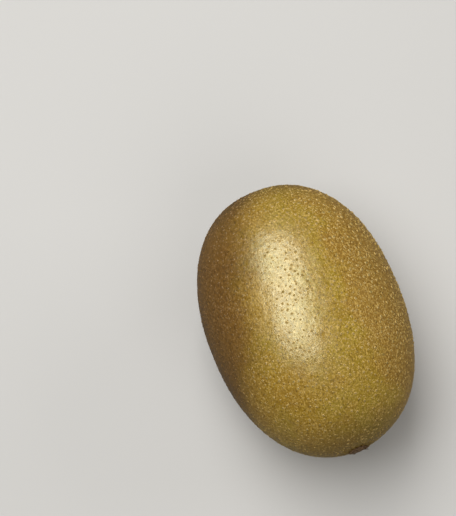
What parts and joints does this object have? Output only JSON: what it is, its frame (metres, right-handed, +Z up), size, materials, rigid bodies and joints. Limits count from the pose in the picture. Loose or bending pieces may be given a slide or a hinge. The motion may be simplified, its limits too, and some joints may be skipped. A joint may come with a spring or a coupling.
{
  "type": "golden kiwi fruit",
  "caption": "Whole smooth-skinned golden kiwi fruit, an oval lying on its side on a small flat spot.",
  "frame": {"origin": "centre of the base of the bounding box, on the surface that the fruit lies on", "axes": "+Y along the fruit from the blossom end to the stem end, +X across it, +Z up"},
  "size_m": [0.0524, 0.075, 0.0497],
  "materials": {
    "kiwi_skin": "bronze-gold skin with a soft sheen and small raised tan lenticels"
  },
  "bodies": {
    "root": {"kiwi_fruit": "kiwi_skin"}
  },
  "joints": []
}
